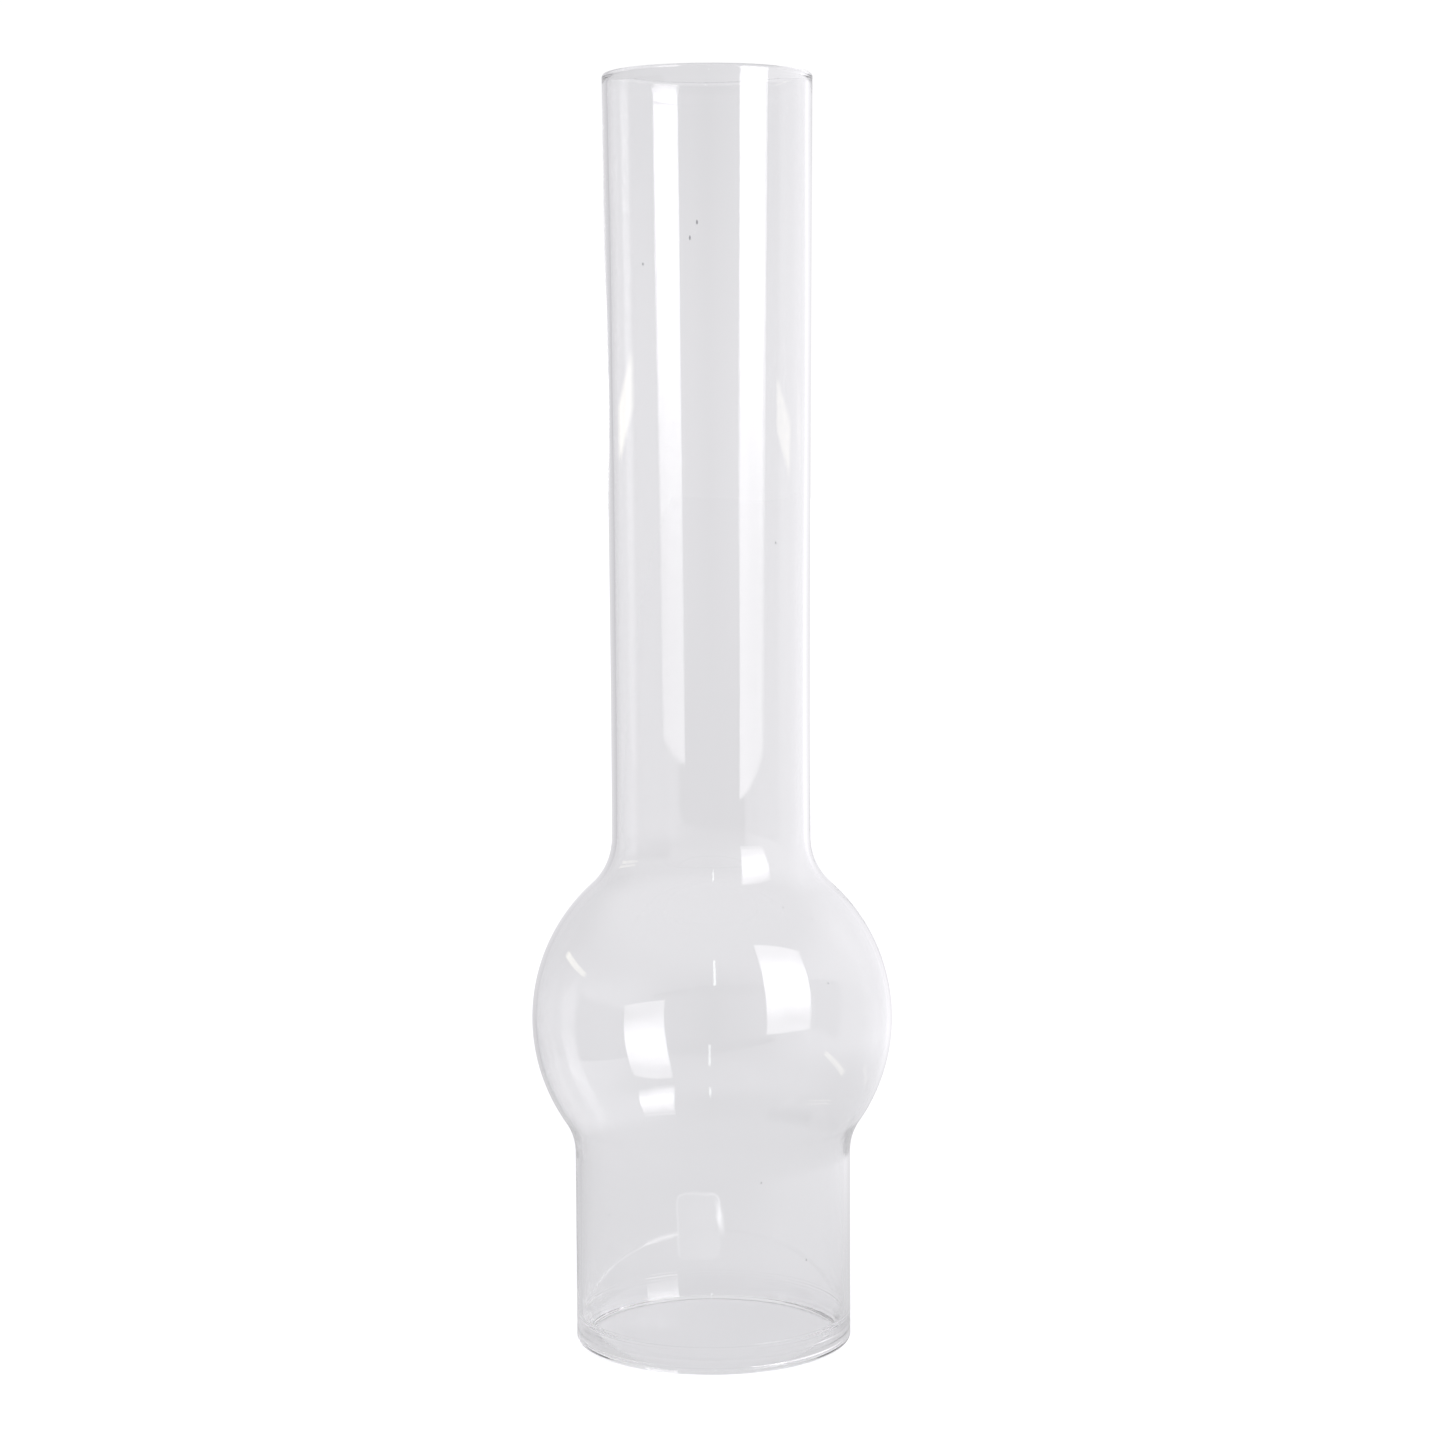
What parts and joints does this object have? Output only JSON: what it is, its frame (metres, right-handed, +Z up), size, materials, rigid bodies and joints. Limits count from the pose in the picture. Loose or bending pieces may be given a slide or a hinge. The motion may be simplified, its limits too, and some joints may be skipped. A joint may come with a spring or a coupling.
{
  "type": "oil lamp chimney",
  "caption": "Clear glass oil lamp chimney: a straight seat tube, a round bulb and a long, slightly flared flue, open at both ends.",
  "frame": {"origin": "centre of the base rim, in the plane that the glass stands on", "axes": "+Z up along the glass's axis, from the base rim to the mouth; the picture looks along +Y"},
  "size_m": [0.069, 0.069, 0.241],
  "materials": {
    "clear_glass": "smooth clear blown glass with fire-polished rims"
  },
  "bodies": {
    "root": {"chimney_glass": "clear_glass"}
  },
  "joints": []
}
